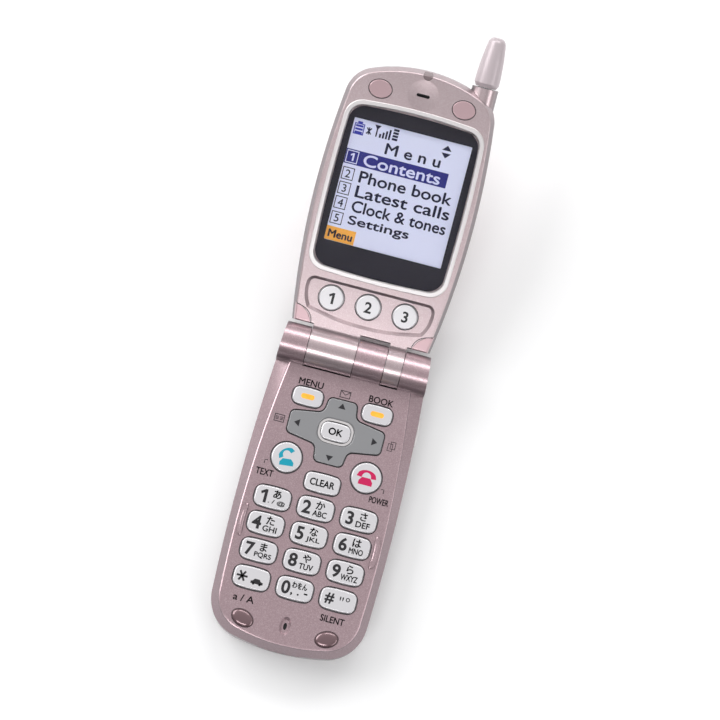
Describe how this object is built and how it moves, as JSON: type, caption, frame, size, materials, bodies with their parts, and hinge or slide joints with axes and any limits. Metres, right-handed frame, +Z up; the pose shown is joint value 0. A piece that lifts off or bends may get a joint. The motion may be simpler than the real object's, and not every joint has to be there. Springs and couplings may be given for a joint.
{
  "type": "mobile phone",
  "caption": "Clamshell mobile phone lying open on its back, with keypad, display, hinged lid, pressable keys, pull-out antenna and sliding battery cover.",
  "frame": {"origin": "centre of the open phone's box in X and Y, on the surface it lies on", "axes": "+X to the right across the keypad, +Y from the keypad half towards the display half, +Z up out of the keypad"},
  "size_m": [0.0504, 0.1958, 0.0428],
  "materials": {
    "body_paint": "metallic pink-silver paint on moulded plastic",
    "silver_trim": "satin silver paint",
    "key_silver": "pale silver-grey, smooth",
    "navigation_grey": "mid grey, satin",
    "pale_pink": "pale pink, satin",
    "soft_bumper": "tinted soft plastic",
    "window_glass": "clear window with a dark printed border",
    "indicator_smoke": "smoked translucent",
    "display_module": "lit display behind the window",
    "circuit_board": "green solder resist",
    "black_plastic": "black moulded",
    "key_rubber": "translucent silicone",
    "steel": "plain steel",
    "bright_steel": "bright plated",
    "weight_brass": "dull sintered metal",
    "battery_case": "aluminium can with a grey label",
    "flex_amber": "amber film"
  },
  "bodies": {
    "base": {"base_front_case": "body_paint", "base_rear_case": "body_paint", "battery_pack": "battery_case", "main_board": "circuit_board", "keypad_board": "circuit_board", "key_mat": "key_rubber", "vibration_motor": "steel", "ringer_speaker": "black_plastic", "microphone": "black_plastic", "system_connector": "black_plastic", "earphone_jack": "black_plastic", "strap_bar": "steel", "base_bumpers": "soft_bumper", "base_screws": "steel", "hinge_shaft": "steel", "hinge_bush": "steel", "hinge_flex_cable": "flex_amber"},
    "lid": {"lid_front_case": "body_paint", "lid_rear_case": "body_paint", "display_bezel": "silver_trim", "display_window": "window_glass", "display_panel": "display_module", "lid_board": "circuit_board", "earpiece_speaker": "black_plastic", "indicator_lens": "indicator_smoke", "lid_screw_caps": "pale_pink", "lid_corner_pads": "pale_pink", "lid_screws": "steel", "hinge_click_unit": "steel", "antenna_holder": "steel"},
    "antenna": {"antenna_whip": "bright_steel", "antenna_cap": "pale_pink"},
    "battery_cover": {"battery_cover": "body_paint"},
    "jack_cover": {"jack_cover": "body_paint"},
    "connector_cover": {"connector_cover": "body_paint"},
    "side_key": {"side_key": "body_paint"},
    "vibration_weight": {"vibration_weight": "weight_brass"},
    "navigation_rocker_ring": {"navigation_rocker_ring": "steel"},
    "navigation_key": {"navigation_key": "navigation_grey"},
    "select_key": {"select_key": "key_silver"},
    "one_touch_key_1": {"one_touch_key_1": "key_silver"},
    "one_touch_key_2": {"one_touch_key_2": "key_silver"},
    "one_touch_key_3": {"one_touch_key_3": "key_silver"},
    "soft_key_left": {"soft_key_left": "key_silver"},
    "soft_key_right": {"soft_key_right": "key_silver"},
    "call_key": {"call_key": "key_silver"},
    "end_key": {"end_key": "key_silver"},
    "clear_key": {"clear_key": "key_silver"},
    "key_1": {"key_1": "key_silver"},
    "key_2": {"key_2": "key_silver"},
    "key_3": {"key_3": "key_silver"},
    "key_4": {"key_4": "key_silver"},
    "key_5": {"key_5": "key_silver"},
    "key_6": {"key_6": "key_silver"},
    "key_7": {"key_7": "key_silver"},
    "key_8": {"key_8": "key_silver"},
    "key_9": {"key_9": "key_silver"},
    "key_star": {"key_star": "key_silver"},
    "key_0": {"key_0": "key_silver"},
    "key_hash": {"key_hash": "key_silver"}
  },
  "joints": [
    {"name": "lid_hinge", "type": "hinge", "parent": "base", "child": "lid", "pos_m": [0, -0.00492, 0.01525], "axis": [1, 0, 0], "range_deg": [0, 163]},
    {"name": "antenna_slide", "type": "slide", "parent": "lid", "child": "antenna", "axis": [0, 0.9563, 0.2924], "range_m": [0, 0.0535]},
    {"name": "battery_cover_slide", "type": "slide", "parent": "base", "child": "battery_cover", "axis": [0, -1, 0], "range_m": [0, 0.066]},
    {"name": "jack_cover_hinge", "type": "hinge", "parent": "base", "child": "jack_cover", "pos_m": [-0.02415, -0.07408, 0.0093], "axis": [0, 0, 1], "range_deg": [0, 95]},
    {"name": "connector_cover_hinge", "type": "hinge", "parent": "base", "child": "connector_cover", "pos_m": [0, -0.09707, 0.0082], "axis": [1, 0, 0], "range_deg": [0, 90]},
    {"name": "side_key_press", "type": "slide", "parent": "base", "child": "side_key", "axis": [-1, 0, 0], "range_m": [0, 0.0004], "stiffness_N_per_m": 800},
    {"name": "vibration_spin", "type": "hinge", "parent": "base", "child": "vibration_weight", "pos_m": [-0.0048, -0.09292, 0.0049], "axis": [1, 0, 0], "continuous": true},
    {"name": "navigation_tilt_up_down", "type": "hinge", "parent": "base", "child": "navigation_rocker_ring", "pos_m": [0, -0.02867, 0.01205], "axis": [1, 0, 0], "range_deg": [-1.1, 1.1], "stiffness_Nm_per_rad": 0.2},
    {"name": "navigation_tilt_left_right", "type": "hinge", "parent": "navigation_rocker_ring", "child": "navigation_key", "pos_m": [0, -0.02867, 0.01205], "axis": [0, 1, 0], "range_deg": [-1.1, 1.1], "stiffness_Nm_per_rad": 0.2},
    {"name": "select_key_press", "type": "slide", "parent": "base", "child": "select_key", "axis": [0, 0, -1], "range_m": [0, 0.00035], "stiffness_N_per_m": 800},
    {"name": "soft_key_left_press", "type": "slide", "parent": "base", "child": "soft_key_left", "axis": [0, 0, -1], "range_m": [0, 0.0004], "stiffness_N_per_m": 800},
    {"name": "soft_key_right_press", "type": "slide", "parent": "base", "child": "soft_key_right", "axis": [0, 0, -1], "range_m": [0, 0.0004], "stiffness_N_per_m": 800},
    {"name": "call_key_press", "type": "slide", "parent": "base", "child": "call_key", "axis": [0, 0, -1], "range_m": [0, 0.0004], "stiffness_N_per_m": 800},
    {"name": "end_key_press", "type": "slide", "parent": "base", "child": "end_key", "axis": [0, 0, -1], "range_m": [0, 0.0004], "stiffness_N_per_m": 800},
    {"name": "clear_key_press", "type": "slide", "parent": "base", "child": "clear_key", "axis": [0, 0, -1], "range_m": [0, 0.0004], "stiffness_N_per_m": 800},
    {"name": "key_1_press", "type": "slide", "parent": "base", "child": "key_1", "axis": [0, 0, -1], "range_m": [0, 0.0004], "stiffness_N_per_m": 800},
    {"name": "key_2_press", "type": "slide", "parent": "base", "child": "key_2", "axis": [0, 0, -1], "range_m": [0, 0.0004], "stiffness_N_per_m": 800},
    {"name": "key_3_press", "type": "slide", "parent": "base", "child": "key_3", "axis": [0, 0, -1], "range_m": [0, 0.0004], "stiffness_N_per_m": 800},
    {"name": "key_4_press", "type": "slide", "parent": "base", "child": "key_4", "axis": [0, 0, -1], "range_m": [0, 0.0004], "stiffness_N_per_m": 800},
    {"name": "key_5_press", "type": "slide", "parent": "base", "child": "key_5", "axis": [0, 0, -1], "range_m": [0, 0.0004], "stiffness_N_per_m": 800},
    {"name": "key_6_press", "type": "slide", "parent": "base", "child": "key_6", "axis": [0, 0, -1], "range_m": [0, 0.0004], "stiffness_N_per_m": 800},
    {"name": "key_7_press", "type": "slide", "parent": "base", "child": "key_7", "axis": [0, 0, -1], "range_m": [0, 0.0004], "stiffness_N_per_m": 800},
    {"name": "key_8_press", "type": "slide", "parent": "base", "child": "key_8", "axis": [0, 0, -1], "range_m": [0, 0.0004], "stiffness_N_per_m": 800},
    {"name": "key_9_press", "type": "slide", "parent": "base", "child": "key_9", "axis": [0, 0, -1], "range_m": [0, 0.0004], "stiffness_N_per_m": 800},
    {"name": "key_star_press", "type": "slide", "parent": "base", "child": "key_star", "axis": [0, 0, -1], "range_m": [0, 0.0004], "stiffness_N_per_m": 800},
    {"name": "key_0_press", "type": "slide", "parent": "base", "child": "key_0", "axis": [0, 0, -1], "range_m": [0, 0.0004], "stiffness_N_per_m": 800},
    {"name": "key_hash_press", "type": "slide", "parent": "base", "child": "key_hash", "axis": [0, 0, -1], "range_m": [0, 0.0004], "stiffness_N_per_m": 800},
    {"name": "one_touch_key_1_press", "type": "slide", "parent": "lid", "child": "one_touch_key_1", "axis": [0, 0.2924, -0.9563], "range_m": [0, 0.00035], "stiffness_N_per_m": 800},
    {"name": "one_touch_key_2_press", "type": "slide", "parent": "lid", "child": "one_touch_key_2", "axis": [0, 0.2924, -0.9563], "range_m": [0, 0.00035], "stiffness_N_per_m": 800},
    {"name": "one_touch_key_3_press", "type": "slide", "parent": "lid", "child": "one_touch_key_3", "axis": [0, 0.2924, -0.9563], "range_m": [0, 0.00035], "stiffness_N_per_m": 800}
  ]
}
